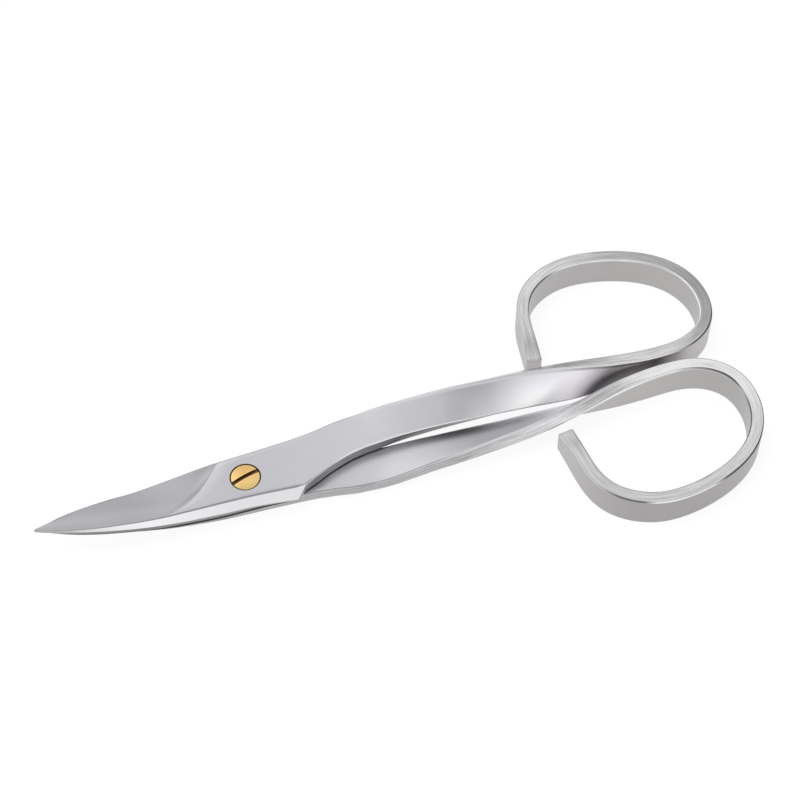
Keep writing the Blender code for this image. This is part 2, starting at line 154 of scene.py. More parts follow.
def strip_path(points, count):
    """Points and directions at even steps of a natural cubic, and the step's length."""
    points = np.array(points, float)
    steps = np.linalg.norm(np.diff(points, axis=0), axis=1)
    knots = np.concatenate([[0.0], np.cumsum(steps)])
    slopes = np.diff(points, axis=0) / steps[:, None]
    matrix, right = np.eye(len(points)), np.zeros_like(points)
    for i in range(1, len(points) - 1):
        matrix[i, i - 1:i + 2] = steps[i - 1], 2 * (steps[i - 1] + steps[i]), steps[i]
        right[i] = 6 * (slopes[i] - slopes[i - 1])
    bends = np.linalg.solve(matrix, right)
    places = np.linspace(0.0, knots[-1], count + 1)
    found, travels = [], []
    for place in places:
        i = min(max(int(np.searchsorted(knots, place)) - 1, 0), len(steps) - 1)
        b = (place - knots[i]) / steps[i]
        a = 1 - b
        curve = (a ** 3 - a) * bends[i] + (b ** 3 - b) * bends[i + 1]
        turn = (1 - 3 * a ** 2) * bends[i] + (3 * b ** 2 - 1) * bends[i + 1]
        found.append(a * points[i] + b * points[i + 1] + curve * steps[i] ** 2 / 6)
        travel = slopes[i] + turn * steps[i] / 6
        travels.append(travel / np.linalg.norm(travel))
    return np.array(found), np.array(travels), places


def even_out(values, reach):
    """Average each value with its neighbours, so that a reflection runs on without steps."""
    weights = np.hanning(2 * reach + 3)[1:-1]
    padded = np.concatenate([np.full(reach, values[0]), values, np.full(reach, values[-1])])
    evened = np.convolve(padded, weights / weights.sum(), "valid")
    evened[0], evened[-1] = values[0], values[-1]
    return evened


# %% [markdown]
# ## The ground blade, the band and the flat shank
# On the real half a grinding wheel takes the strip down from the ridge to the cutting edge,
# and runs out near the screw in a curved plunge line. A second grind leaves the bright
# facet along the spine, which stops in a corner at the heel.
# It could be modelled by hand from a cube. Skinning computed sections is surer: each section
# is one loop of points, and one formula, `grind_depth`, says how deep the wheel has cut.

# %% Rows that the sections read
def blade_rows(column, unit):
    return [(-BLADE_REACH * row[0], unit * row[column]) for row in BLADE_SHARES]


def shank_rows(shares):
    return [(TWIST_START * along, SHANK_OFFSET * out) for along, out in shares]


HEEL_RIDGE = (HEEL_END, RIDGE_HALF_WIDTH * RIDGE_SHARES[1])
OUTER_SIDE = blade_rows(1, EDGE_HALF_WIDTH) + shank_rows(OUTER_SHARES)
INNER_SIDE = [HEEL_RIDGE] + shank_rows(INNER_SHARES)
RIDGE_LINE = blade_rows(2, RIDGE_HALF_WIDTH)
RIDGE_LINE += [(0.0, RIDGE_HALF_WIDTH * RIDGE_SHARES[0]), HEEL_RIDGE]
THICKNESS = blade_rows(3, BAND_THICKNESS) + [(0.0, BAND_THICKNESS), (TWIST_START, BAND_THICKNESS)]
FACET_DEPTH = blade_rows(4, 1.0) + [(0.0, FACET_SHARES[0]), (HEEL_X, FACET_SHARES[1])]

# Steps across each stretch of a section, in order round it
STEPS = {"inner face": 10, "low corner": 4, "outer wall": 3, "top corner": 4, "ground face": 12,
         "flat face": 12, "ridge": 3, "facet": 6, "spine wall": 3, "spine corner": 4}
STARTS, SECTION_POINTS = {}, 0
for stretch, steps in STEPS.items():
    STARTS[stretch] = SECTION_POINTS
    SECTION_POINTS += steps
RIDGE_SOFTNESS, SOFTEST_SHARE = 0.05 * MM, 0.3
CREASE_FIRST, CREASE_LAST = 0.06, 0.97    # shares between which the plunge line crosses
HEEL_FADE = 0.93    # how much of the facet the slanted cut at the heel takes away
print(SECTION_POINTS, "points round each section")


# %% One section of the flat part
def rounded(start, corner, end, count):
    """A quarter round between two edges that meet in a corner, without its end."""
    start, corner, end = Vector(start), Vector(corner), Vector(end)
    middle = start + end - corner
    angles = [math.pi / 2 * i / count for i in range(count)]
    return [middle + (corner - end) * math.cos(a) + (corner - start) * math.sin(a)
            for a in angles]


def straight(start, end, count):
    return [Vector(start).lerp(Vector(end), i / count) for i in range(count)]


def section(outer, inner, ridge, top, facet, keen, faceted, level, crease):
    """Points (across, up) round a section. level(share) is the height from ridge to edge."""
    outer_top = level(1.0)
    low = min(mix(EDGE_ROUNDING, SPINE_ROUNDING, faceted), (top - facet) / 2)
    land = mix(EDGE_ROUNDING, EDGE_LAND, keen)
    lift = mix(EDGE_ROUNDING, 0.0, keen)
    corner = mix(EDGE_ROUNDING, CUTTING_BEVEL, keen)
    points = []
    for i in range(STEPS["inner face"]):
        share = i / STEPS["inner face"]
        hollow = HOLLOW_DEPTH * keen * 4 * share * (1 - share)
        points.append(Vector((mix(inner + low, outer - land, share), hollow)))
    points += rounded((outer - land, 0), (outer, 0), (outer, lift), STEPS["low corner"])
    points += straight((outer, lift), (outer, outer_top - corner), STEPS["outer wall"])
    points += rounded((outer, outer_top - corner), (outer, outer_top), (outer - corner, outer_top),
                      STEPS["top corner"])
    width = outer - corner - ridge
    soft = min(RIDGE_SOFTNESS, width * SOFTEST_SHARE, facet * SOFTEST_SHARE)
    for i in range(STEPS["ground face"]):
        share = mix(1.0, crease, i / STEPS["ground face"])
        points.append(Vector((ridge + width * share, level(share))))
    for i in range(STEPS["flat face"] + 1):
        share = mix(crease, soft / width, i / STEPS["flat face"])
        points.append(Vector((ridge + width * share, level(share))))
    count = STEPS["facet"]
    flat = straight((ridge, top), (inner, top - facet), count * 4)
    curved = rounded((ridge, top), (inner, top), (inner, top - facet), count * 4)
    down = [a.lerp(b, faceted) for a, b in zip(curved, flat)]
    start, tip, end = points[-1], Vector((ridge, top)), down[count // 2]
    for i in range(1, STEPS["ridge"]):
        t = i / STEPS["ridge"]
        points.append(start * (1 - t) ** 2 + tip * 2 * t * (1 - t) + end * t ** 2)
    for i in range(count):
        points.append(down[round(mix(count // 2, count * 4, i / count))])
    points += straight((inner, top - facet), (inner, low), STEPS["spine wall"])
    points += rounded((inner, low), (inner, 0), (inner + low, 0), STEPS["spine corner"])
    return points


def plunge_at(share):
    """Where the plunge line lies, at a share of the way from the ridge to the outer side."""
    return (PLUNGE_START - PLUNGE_END) * math.sqrt(share) - PLUNGE_START


def grind_depth(share, x, top):
    """How deep the wide grind is there: it falls to the edge and is hollow in the middle."""
    run = min(max((plunge_at(share) - x) / RUN_OUT, 0.0), 1.0)
    fall = (top - EDGE_HEIGHT) * smooth((-x - PLUNGE_END) / (KEEN_FROM - PLUNGE_END))
    hollow = GRIND_HOLLOW * top * 4 * share * (1 - share)
    return (fall * share + hollow) * run * (2 - run)


def flat_section(x):
    """The ground blade, the band or the flat shank, cut across at x."""
    top, outer = read(THICKNESS, x), read(OUTER_SIDE, x)
    if x < HEEL_END:
        ridge = -read(RIDGE_LINE, x)
        left = 1 - HEEL_FADE * max(x - HEEL_X, 0.0) / HEEL_CUT
        facet = top * read(FACET_DEPTH, min(x, HEEL_X)) * left
        inner = ridge - facet / FACET_SLOPE
    else:
        inner = -read(INNER_SIDE, x)
        ridge, facet = inner + EDGE_ROUNDING, EDGE_ROUNDING
    keen = smooth((-x - BAND_REACH) / (BEVEL_FROM - BAND_REACH))
    reached = max(x + PLUNGE_START, 0.0) / (PLUNGE_START - PLUNGE_END)
    crease = min(max(reached ** 2, CREASE_FIRST), mix(CREASE_LAST, 0.5, smooth(x / TWIST_START)))
    return section(outer, inner, ridge, top, facet, keen, float(x < HEEL_END),
                   lambda share: top - grind_depth(max(share, 0.0), x, top), crease)


def bend(radius):
    """Height of the blades' curved mating surface, at a distance from the screw."""
    run = max(radius - BEND_START, 0.0)
    arc = BEND_RADIUS * BEND_SLOPE
    return run * run / (2 * BEND_RADIUS) if run < arc else (run - arc / 2) * BEND_SLOPE


SET_FROM, SET_FULL_AFTER, SET_CLOSES_OVER = 0.15, 0.25, 0.40    # shares of the reach


def bow(radius):
    """How far a blade stands off the other between the screw and the tip."""
    share = radius / BLADE_REACH
    return (SET_GAP * smooth((share - SET_FROM) / SET_FULL_AFTER)
            * smooth((1 - share) / SET_CLOSES_OVER))


# %% [markdown]
# Every section has as many points as the next, so neighbours are joined by rows of
# four-sided faces. Two numbers ride on each corner, the place along the strip and the way
# round it, in millimetres: a UV map that the finishes use to lay grinding marks along the
# steel however it twists. The faces are sorted by finish at the same time.

# %% Meshes and objects
def to_mesh(form, name):
    mesh = bpy.data.meshes.new(name)
    form.to_mesh(mesh)
    form.free()
    return mesh


def shown(name, mesh):
    made = bpy.data.objects.new(name, mesh)
    bpy.context.scene.collection.objects.link(made)
    return made


# %% Skin the flat part of a half
FINISHES = ("satin", "wheel_ground", "facet", "belt_ground", "ridge", "gap", "corner_painted_light")
# Stretches along the flat part, with the number of sections in each. The last two leave a
# step of a fiftieth of a millimetre, where the strip's rounded corner takes over at the heel
FLAT_ROWS = (
    (-BLADE_REACH, -PLUNGE_START, 61), (-PLUNGE_START, -PLUNGE_END, 81),
    (-PLUNGE_END, HEEL_X, 26), (HEEL_X, HEEL_END - 0.02 * MM, 12), (HEEL_END, TWIST_START, 31),
)


def round_the_section(points):
    """Distance round a section from its upper outer corner, in millimetres."""
    steps = [(b - a).length for a, b in zip(points, points[1:] + points[:1])]
    around = np.concatenate([[0.0], np.cumsum(steps)])
    return (around - around[STARTS["ground face"]]) / MM


def finish_of(j, x):
    """Which finish the face beside point j has, at x."""
    stretch = [name for name, first in STARTS.items() if j >= first][-1]
    if stretch == "ground face":
        return "wheel_ground" if x < -PLUNGE_END else "satin"
    if stretch == "flat face":
        return "wheel_ground" if x < plunge_at(CREASE_FIRST) else "satin"
    if stretch in ("ridge", "facet"):
        return stretch if x < HEEL_END else "corner_painted_light"
    # The corners at the gap between the halves take the gap finish, which is painted shade
    if stretch == "spine corner" or stretch == "low corner" and x < 0:
        return "gap"
    return "satin" if stretch == "inner face" else "belt_ground"


def flat_part(name, side):
    """Mesh of the blade, the band and the flat shank. side is 1 for the thumb half."""
    places = sorted({x for start, end, count in FLAT_ROWS for x in np.linspace(start, end, count)})
    form = bmesh.new()
    layer = form.loops.layers.uv.new("strip_uv")
    rows, arounds = [], []
    for x in places:
        points = flat_section(x)
        row = []
        for across, up in points:
            radius = math.hypot(x, across) if x < 0 else 0.0
            height = side * (RIDE_GAP / 2 + bow(radius) + up) + bend(radius) + MATING_HEIGHT
            row.append(form.verts.new((x, side * across, height)))
        rows.append(row)
        arounds.append(round_the_section(points))
    print(name, "has", len(rows), "sections")
    for i in range(len(rows) - 1):
        for j in range(SECTION_POINTS):
            k = (j + 1) % SECTION_POINTS
            face = form.faces.new((rows[i][j], rows[i][k], rows[i + 1][k], rows[i + 1][j]))
            ground = finish_of(j, (places[i] + places[i + 1]) / 2)
            face.material_index = FINISHES.index(ground)
            corners = ((i, j), (i, j + 1), (i + 1, j + 1), (i + 1, j))
            for loop, (a, b) in zip(face.loops, corners):
                loop[layer].uv = (places[a] / MM, arounds[a][b])
    form.faces.new(reversed(rows[0]))
    return to_mesh(form, name)


# %% [markdown]
# ## Node trees written as sums
# Both the shapes made by Geometry Nodes and the finishes made by shader nodes need
# arithmetic. Placing Math nodes by hand hides what is computed, so a small class wraps a
# socket and overloads the operators: an expression in Python adds its own nodes. All other
# nodes come from one method, which takes the node's settings and what goes into its sockets.


# %% A wire, and the bench it lies on
class Wire:
    """A value on its way from one node to the next. Sums on wires add Math nodes."""

    def __init__(self, bench, socket):
        self.bench, self.socket = bench, socket

    def __add__(self, other):
        return self.bench.maths("ADD", self, other)

    def __radd__(self, other):
        return self.bench.maths("ADD", other, self)

    def __sub__(self, other):
        return self.bench.maths("SUBTRACT", self, other)

    def __rsub__(self, other):
        return self.bench.maths("SUBTRACT", other, self)

    def __mul__(self, other):
        return self.bench.maths("MULTIPLY", self, other)

    def __rmul__(self, other):
        return self.bench.maths("MULTIPLY", other, self)

    def __truediv__(self, other):
        return self.bench.maths("DIVIDE", self, other)

    def split(self):
        """The three parts of a vector."""
        parts = self.bench.node("ShaderNodeSeparateXYZ", {0: self}).socket.node.outputs
        return [Wire(self.bench, parts[axis]) for axis in "XYZ"]


class Bench:
    """A node tree, with the one way in which nodes are added to it."""

    def __init__(self, tree):
        self.tree = tree

    def node(self, kind, sockets=None, output=0, stops=None, **settings):
        made = self.tree.nodes.new(kind)
        for name, value in settings.items():
            setattr(made, name, value)
        if stops:
            elements = made.color_ramp.elements
            while len(elements) < len(stops):
                elements.new(0.5)
            for element, (place, colour) in zip(elements, stops):
                element.position, element.color = place, colour
        for name, value in (sockets or {}).items():
            if isinstance(value, Wire):
                self.tree.links.new(value.socket, made.inputs[name])
            else:
                made.inputs[name].default_value = value
        return Wire(self, made.outputs[output])

    def maths(self, operation, first, second=0.0):
        return self.node("ShaderNodeMath", {0: first, 1: second}, operation=operation)


# %% [markdown]
# ## The twisted handle and its finger loop
# Beyond the flat shank the real strip is gripped and turned by a quarter, so that it stands
# on edge, and then rolled into an open loop. Its shape follows one rule: a fixed section is
# carried along a path, and turned as it goes. That is work for Geometry Nodes. A Curve to
# Mesh node would do it with a tilt, but it can't keep the rounding of the edges true while
# the strip narrows, and its ends wouldn't meet the flat part point for point. So the tree
# below lays a grid, one row for each place on the path and one column for each point of the
# section, and works out where every point goes from the strip's named sizes.

# %% The section that is carried along
FIRST_OUTER, FIRST_INNER = read(OUTER_SIDE, TWIST_START), -read(INNER_SIDE, TWIST_START)
FIRST_WIDTH = FIRST_OUTER - FIRST_INNER


def store(mesh, name, values, kind="FLOAT"):
    """Keep a value with each point of a mesh, under a name that the tree below reads."""
    layer = mesh.attributes.new(name, kind, "POINT").data
    layer.foreach_set("value" if kind == "FLOAT" else "vector", np.ravel(values))


def section_object():
    """A row of points: where each lies on the strip's faces, and its share of the rounding."""
    middle = Vector(((FIRST_OUTER + FIRST_INNER) / 2, BAND_THICKNESS / 2))
    points = [point - middle for point in flat_section(TWIST_START)]
    arounds = round_the_section(points)
    points.append(points[0])
    reach = FIRST_WIDTH / 2 - EDGE_ROUNDING, BAND_THICKNESS / 2 - EDGE_ROUNDING
    on_faces, in_corners = np.zeros((len(points), 3)), np.zeros((len(points), 3))
    for i, point in enumerate(points):
        for axis in (0, 1):
            share = min(max(point[axis] / reach[axis], -1.0), 1.0)
            on_faces[i, axis] = share
            in_corners[i, axis] = (point[axis] - share * reach[axis]) / EDGE_ROUNDING
    mesh = bpy.data.meshes.new("strip section")
    mesh.vertices.add(len(points))
    mesh.vertices.foreach_set("co", on_faces.ravel())
    store(mesh, "corner", in_corners, "FLOAT_VECTOR")
    store(mesh, "around", arounds)
    return shown("strip section", mesh)


# %% The path, with the turn and the sizes at each place on it
STATIONS = 420
END_BEVEL = 0.10 * MM
# Finer faces reach a little further out than the CAD model's; this keeps them in its box
CHORD_ALLOWANCE = 0.005 * MM
WIDENING, TAPER = 0.25, 0.05    # shares of the twist and of the strip
EASED_TURN, EASED_CHANGE = 2.5 * MM, 6 * MM    # the twist and the rounding set in gently
# Steps over which the turn, the height and, in two rounds, the rounding are evened out
TURN_REACH, HEIGHT_REACH, WAVER_REACHES = 9, 7, (6, 4)
WAVER, WAVER_GAIN = 0.30, 2.2


def path_object(name, side):
    points = [(TWIST_START, (FIRST_OUTER + FIRST_INNER) / 2)]
    for along, out in STRIP_SHARES:
        points.append((LOOP_FRONT + LOOP_LENGTH * along, LOOP_BASE + LOOP_WIDTH * out))
    middles, travels, places = strip_path(points, STATIONS)
    travels[0] = 1.0, 0.0
    length = places[-1]
    rises = [(row[0], row[1 if side > 0 else 2]) for row in RISE_SHARES]
    turns = np.array([math.pi / 2 * read(TURN_SHARES, p / TWIST_LENGTH) for p in places])
    heights = np.array([BAND_THICKNESS * read(rises, p / length) for p in places])
    heights[0] = side * (RIDE_GAP + BAND_THICKNESS) / 2
    turns, heights = even_out(turns, TURN_REACH), even_out(heights, HEIGHT_REACH)
    turns *= [smooth(p / EASED_TURN) for p in places]
    wavers = np.random.default_rng(7 if side > 0 else 8).uniform(-1, 1, len(places))
    for reach in WAVER_REACHES:
        wavers = even_out(wavers, reach)
    widths, thicknesses, roundings = [], [], []
    for place, waver in zip(places, wavers * WAVER_GAIN):
        ending = smooth((place / length - 1 + TAPER) / TAPER)
        width = mix(FIRST_WIDTH, STRIP_WIDTH, smooth(place / TWIST_LENGTH / WIDENING))
        left = min((length - place) / END_BEVEL, 1.0)
        inset = END_BEVEL * (1 - math.sqrt(max(1 - (1 - left) ** 2, 0.0))) if left < 1 else 0.0
        widths.append(mix(width, FREE_END_WIDTH, ending) - 2 * inset)
        changed = smooth(place / EASED_CHANGE)
        thickness = mix(BAND_THICKNESS, FREE_END_THICKNESS, ending) - CHORD_ALLOWANCE * changed
        thicknesses.append(thickness - 2 * inset)
        roundings.append(EDGE_ROUNDING * (1 + WAVER * changed * (0.5 + 0.5 * waver)))
    mesh = bpy.data.meshes.new(name)
    mesh.vertices.add(len(places))
    mesh.vertices.foreach_set("co", np.column_stack([middles, heights]).ravel())
    columns = {"turn": turns, "wide": widths, "thick": thicknesses, "rounding": roundings,
               "along": (TWIST_START + places) / MM}
    for key, values in columns.items():
        store(mesh, key, values)
    sideways = np.column_stack([-travels[:, 1], travels[:, 0], np.zeros(len(places))])
    store(mesh, "sideways", sideways, "FLOAT_VECTOR")
    print(name, "is %.1f mm long in %d steps" % (length / MM, STATIONS))
    return shown(name, mesh)


# %% [markdown]
# The tree reads a path's row and a section's column at each grid point with Sample Index,
# turns the section point by the path's turn, and moves it sideways and up from the middle of
# the strip. The flat part is joined on in the same tree: their common section has the same
# points, so Merge by Distance welds the seam and closes the skin.


# %% The tree that rolls a strip
def strip_tree():
    tree = bpy.data.node_groups.new("strip_rolled_along_path", "GeometryNodeTree")
    for kind, names in (("Geometry", ("Path",)), ("Object", ("Section", "Flat part")),
                        ("Float", ("Side", "Height of the pivot plane", "Weld distance")),
                        ("Material", ("Faces", "Edges", "Corners"))):
        for name in names:
            tree.interface.new_socket(name=name, in_out="INPUT", socket_type="NodeSocket" + kind)
    tree.interface.new_socket(name="Half", in_out="OUTPUT", socket_type="NodeSocketGeometry")
    bench = Bench(tree)
    sources = tree.nodes.new("NodeGroupInput").outputs
    given = {source.name: Wire(bench, source) for source in sources}
    path, side = given["Path"], given["Side"]
    section_mesh = bench.node("GeometryNodeObjectInfo", {"Object": given["Section"]},
                              output="Geometry")
    rows = bench.node("GeometryNodeAttributeDomainSize", {"Geometry": path})
    columns = bench.node("GeometryNodeAttributeDomainSize", {"Geometry": section_mesh})
    grid = bench.node("GeometryNodeMeshGrid", {"Vertices X": rows, "Vertices Y": columns})
    index = bench.node("GeometryNodeInputIndex")
    row = bench.maths("FLOOR", (index + 0.5) / columns)
    column = index - row * columns

    def sampled(mesh, place, value, kind):
        return bench.node("GeometryNodeSampleIndex", {"Geometry": mesh, "Value": value,
                          "Index": place}, data_type=kind, domain="POINT")

    def stored(mesh, place, name, kind="FLOAT"):
        value = bench.node("GeometryNodeInputNamedAttribute", {"Name": name}, data_type=kind)
        return sampled(mesh, place, value, kind)

    spot = bench.node("GeometryNodeInputPosition")
    middle_x, middle_y, middle_z = sampled(path, row, spot, "FLOAT_VECTOR").split()
    sideways_x, sideways_y = stored(path, row, "sideways", "FLOAT_VECTOR").split()[:2]
    wide_share, thick_share = sampled(section_mesh, column, spot, "FLOAT_VECTOR").split()[:2]
    corner_wide, corner_thick = stored(section_mesh, column, "corner", "FLOAT_VECTOR").split()[:2]
    rounding, turn = stored(path, row, "rounding"), stored(path, row, "turn")
    across = wide_share * (stored(path, row, "wide") * 0.5 - rounding) + corner_wide * rounding
    up = thick_share * (stored(path, row, "thick") * 0.5 - rounding) + corner_thick * rounding
    up = up * side
    cosine, sine = bench.maths("COSINE", turn), bench.maths("SINE", turn)
    out = across * cosine - up * sine
    rise = across * sine + up * cosine
    place = bench.node("ShaderNodeCombineXYZ", {
        "X": middle_x + sideways_x * out, "Y": side * (middle_y + sideways_y * out),
        "Z": middle_z + rise + given["Height of the pivot plane"]})
    skin = bench.node("GeometryNodeSetPosition", {"Geometry": grid, "Position": place})
    marks = bench.node("ShaderNodeCombineXYZ", {
        "X": stored(path, row, "along"), "Y": stored(section_mesh, column, "around"),
        "Z": column})
    skin = bench.node("GeometryNodeStoreNamedAttribute", {
        "Geometry": skin, "Name": "marks", "Value": marks},
        data_type="FLOAT_VECTOR", domain="POINT")
    marks = bench.node("GeometryNodeInputNamedAttribute", {"Name": "marks"},
                       data_type="FLOAT_VECTOR")
    skin = bench.node("GeometryNodeStoreNamedAttribute", {
        "Geometry": skin, "Name": "strip_uv", "Value": marks},
        data_type="FLOAT2", domain="CORNER")
    column = marks.split()[2]

    def past(stretch):
        return bench.maths("GREATER_THAN", column, float(STARTS[stretch]))

    edges = past("low corner") - past("ground face") + past("ridge")
    corners = (past("low corner") - past("outer wall") + past("top corner")
               - past("ground face") + past("ridge") - past("spine wall")
               + past("spine corner"))
    for name, chosen in (("Faces", True), ("Edges", edges), ("Corners", corners)):
        skin = bench.node("GeometryNodeSetMaterial", {
            "Geometry": skin, "Selection": chosen, "Material": given[name]})
    flat_mesh = bench.node("GeometryNodeObjectInfo", {"Object": given["Flat part"]},
                           output="Geometry")
    both = bench.node("GeometryNodeJoinGeometry", {"Geometry": skin})
    tree.links.new(flat_mesh.socket, both.socket.node.inputs["Geometry"])
    welded = bench.node("GeometryNodeMergeByDistance", {
        "Geometry": both, "Distance": given["Weld distance"]})
    real = bench.node("GeometryNodeRealizeInstances", {"Geometry": welded})
    result = tree.nodes.new("NodeGroupOutput")
    tree.links.new(real.socket, result.inputs["Half"])
    print("the strip tree has", len(tree.nodes), "nodes")
    return tree


# %% [markdown]
# ## Finishes
# Stainless steel is all reflection: its colour is nearly one grey, and what the eye reads as
# finish is how the surface blurs the room. So each finish sets how rough the surface is and
# lays fine marks in it, in the direction in which the real tool moved: a wheel across the
# blade, a belt along the handle's edges, and a tumbled satin elsewhere. Over that, many of
# the greys carry painted highlights, painted reflection and painted shade.

# %% A metal, from its recipe
def finish(name, recipe, *details):
    """A recipe tells a metal's colour, roughness and relief, and the relief's depth in mm."""
    made = bpy.data.materials.new(name)
    made.use_nodes = True
    bench = Bench(made.node_tree)
    shader = bench.tree.nodes["Principled BSDF"]
    shader.inputs["Metallic"].default_value = 1.0
    colour, rough, height, depth = recipe(bench, *details)
    relief = bench.node("ShaderNodeBump", {"Height": height, "Strength": 1.0,
                        "Distance": depth * MM}, output="Normal")
    for socket, wire in (("Base Color", colour), ("Roughness", rough), ("Normal", relief)):
        bench.tree.links.new(wire.socket, shader.inputs[socket])
    return made


# %% What the recipes are made of
STRIP_END = 120.0    # past the far end of the longer strip, in millimetres
STEEL_CAST = (1.012, 1.0, 1.022)


def strip_marks(bench):
    """The way along the strip and the way round it, in millimetres: as one vector, then apart."""
    where = bench.node("ShaderNodeUVMap", uv_map="strip_uv")
    return where, *where.split()[:2]


def noise(where, stretch, detail=3.0, roughness=0.55):
    """Noise on coordinates that are stretched by three factors."""
    spread = where.bench.node("ShaderNodeMapping", {"Vector": where, "Scale": stretch})
    return where.bench.node("ShaderNodeTexNoise", {
        "Vector": spread, "Scale": 1.0, "Detail": detail, "Roughness": roughness}, output="Fac")


def mixed(share, first, second):
    """A blend of two colours, each a wire or three plain numbers."""
    first, second = [colour if isinstance(colour, Wire) else (*colour, 1.0)
                     for colour in (first, second)]
    return share.bench.node("ShaderNodeMix", {0: share, 6: first, 7: second}, output=2,
                            data_type="RGBA", clamp_factor=True)


def ramp(value, start, end):
    """0 before start, 1 after end, eased between."""
    return value.bench.node("ShaderNodeMapRange", {
        "Value": value, "From Min": start, "From Max": end}, interpolation_type="SMOOTHSTEP")


def within(value, rise, fall):
    """1 on a stretch that is eased in between the places in rise, and out between those in fall."""
    return ramp(value, *rise) * (1.0 - ramp(value, *fall))


def along_tone(along, table):
    """A grey that follows a table of (millimetres along the strip, grey)."""
    stops = [(place / STRIP_END, (grey, grey, grey, 1.0)) for place, grey in table]
    return along.bench.node("ShaderNodeValToRGB", {"Fac": along / STRIP_END}, stops=stops)


def scaled(colour, factor):
    return colour.bench.node("ShaderNodeVectorMath", {0: colour, "Scale": factor},
                             operation="SCALE")


def tinted(grey, tint=STEEL_CAST):
    """A grey with a cast, by default the faint violet one that this steel has."""
    return grey.bench.node("ShaderNodeVectorMath", {0: grey, 1: tint}, operation="MULTIPLY")


# %% [markdown]
# No part of the strip is quite as bright as the next. Each half has its own tables of grey
# for that, read along the strip, and most of their rises and falls are painted reflection
# and painted shade, set where the room shows bright or dark in the steel. The face beside
# the twist was buffed and the loops were left as they came from rolling, which sets their
# cast and roughness.

# %% How bright each side of the strip is
FACE_UP = {
    1: ((0, 0.62), (14, 0.68), (18, 0.70), (23, 0.70), (28, 0.82), (31, 0.72), (35, 0.68),
        (37, 0.72), (40, 0.80), (43, 0.83), (46, 0.92), (49, 0.98), (54, 0.98), (57, 0.90),
        (59, 0.62), (61, 0.47), (64, 0.50), (80, 0.46), (118, 0.48)),
    -1: ((0, 0.64), (12, 0.66), (21, 0.72), (28, 0.68), (32, 0.60), (38, 0.60), (44, 0.90),
         (54, 0.90), (62, 0.60), (80, 0.44), (90, 0.38), (99, 0.38), (106, 0.44), (112, 0.50)),
}
FACE_DOWN = {
    1: ((20, 0.60), (40, 0.46), (80, 0.45), (88, 0.43), (96, 0.45), (110, 0.48)),
    -1: ((20, 0.60), (40, 0.46), (56, 0.47), (66, 0.43), (80, 0.46), (110, 0.47)),
}
# The grey of the narrow sides, read along the strip
BELT_GREY = {
    1: ((16, 0.42), (30, 0.58), (51, 0.66), (57, 0.77), (63, 0.68), (69, 0.44), (75, 0.40),
        (80, 0.48), (88, 0.53), (95, 0.72), (101, 0.80), (108, 0.66)),
    -1: ((16, 0.42), (28, 0.46), (34, 0.50), (43, 0.78), (52, 0.74), (58, 1.0), (67, 0.98),
         (77, 0.80), (86, 0.74), (98, 0.70), (112, 0.66)),
}
# The sides that face the other half, across the gap between the shanks, in painted shade
BETWEEN = ((0, 0.32), (6, 0.38), (8.5, 0.42), (11, 0.60), (14, 0.48), (17, 0.35), (21.6, 0.30),
           (25, 0.20), (28, 0.14), (32, 0.20), (36, 0.36), (60, 0.55))
# The facet beside the cutting edge, counted from a place before the point; painted shade makes it
# darker towards the point
FACET_COUNTED_FROM = -30.0
FACET = ((2, 0.42), (5.5, 0.47), (8, 0.66), (12, 0.80), (16, 0.85), (28, 0.72), (40, 0.70))
# A painted highlight line along the upper face's outer edge, and painted shade where it is darker
# than the face
EDGE_LINE_PAINTED_LIGHT = ((14, 0.68), (22, 0.74), (28, 0.94), (32, 0.94), (35, 0.82), (38, 0.70),
               (41, 0.62), (47, 0.58), (52, 0.50))
# The rounded corners: beside the face that meets the other half, beside the face away from
# it, and on the inner side of the strip. Their greys are painted highlights and painted shade
MEETING_CORNER = {
    1: ((20, 0.50), (64, 0.55), (67, 0.88), (96, 0.88), (99, 0.32), (104, 0.32), (107, 0.70)),
    -1: ((16, 0.50), (24, 0.52), (30, 0.74), (42, 0.80), (46, 0.50), (77, 0.45), (80, 0.18),
         (87, 0.16), (89, 0.86), (97, 0.86), (98.5, 0.18), (101.5, 0.20), (103.5, 0.62),
         (113, 0.66)),
}
AWAY_CORNER = {
    1: ((16, 0.62), (24, 0.80), (40, 0.80), (50, 0.80), (60, 0.90), (62, 0.60), (64, 0.22),
        (69, 0.20), (73, 0.42), (90, 0.55)),
    -1: ((16, 0.50), (44, 0.60), (47, 0.90), (60, 0.90), (63, 0.42), (66, 0.20), (70, 0.18),
         (72, 0.50), (74, 0.20), (79, 0.20), (83, 0.50), (104, 0.40)),
}
INNER_CORNER = ((8, 0.55), (11, 0.72), (14, 0.88), (34, 0.88), (44, 0.60), (60, 0.45))


# %% Places on the ground blade
GRIND_WIDTH, GRIND_WIDENING = 6.4, 0.055    # in mm beside the screw, and per mm along
LINED = (1.2, 14.0, 1.0)    # noise for fine marks along a narrow face


def grind_share(along, around):
    """Where a place lies across the blade: 0 at the ridge, 1 at the outer side."""
    return 1.0 - around / (GRIND_WIDTH + GRIND_WIDENING * along)


def past_plunge(along, share):
    """How far a place lies past the plunge line, in millimetres, towards the screw."""
    root = along.bench.maths("SQRT", share)
    return along + PLUNGE_START / MM - (PLUNGE_START - PLUNGE_END) / MM * root


# %% The wide faces
LIES_UP = (-0.4, 0.0)    # round the strip: the upper wide face begins between these
ROLLED, ROLLED_EARLIER_BELOW = (42.0, 58.0), 16.0    # along it: the buffed face turns rolled
BUFFED_CAST, ROLLED_CAST = (1.014, 1.0, 1.055), (1.025, 0.985, 0.988)
LINE_FADES = (0.30, 0.60)
# The slanted light on the shank: where it comes and goes, its gain and its middle
SLANT_RISE, SLANT_FALL, SLANT_GAIN, SLANT_MIDDLE = (29.0, 34.0), (44.0, 48.0), 0.11, 1.7
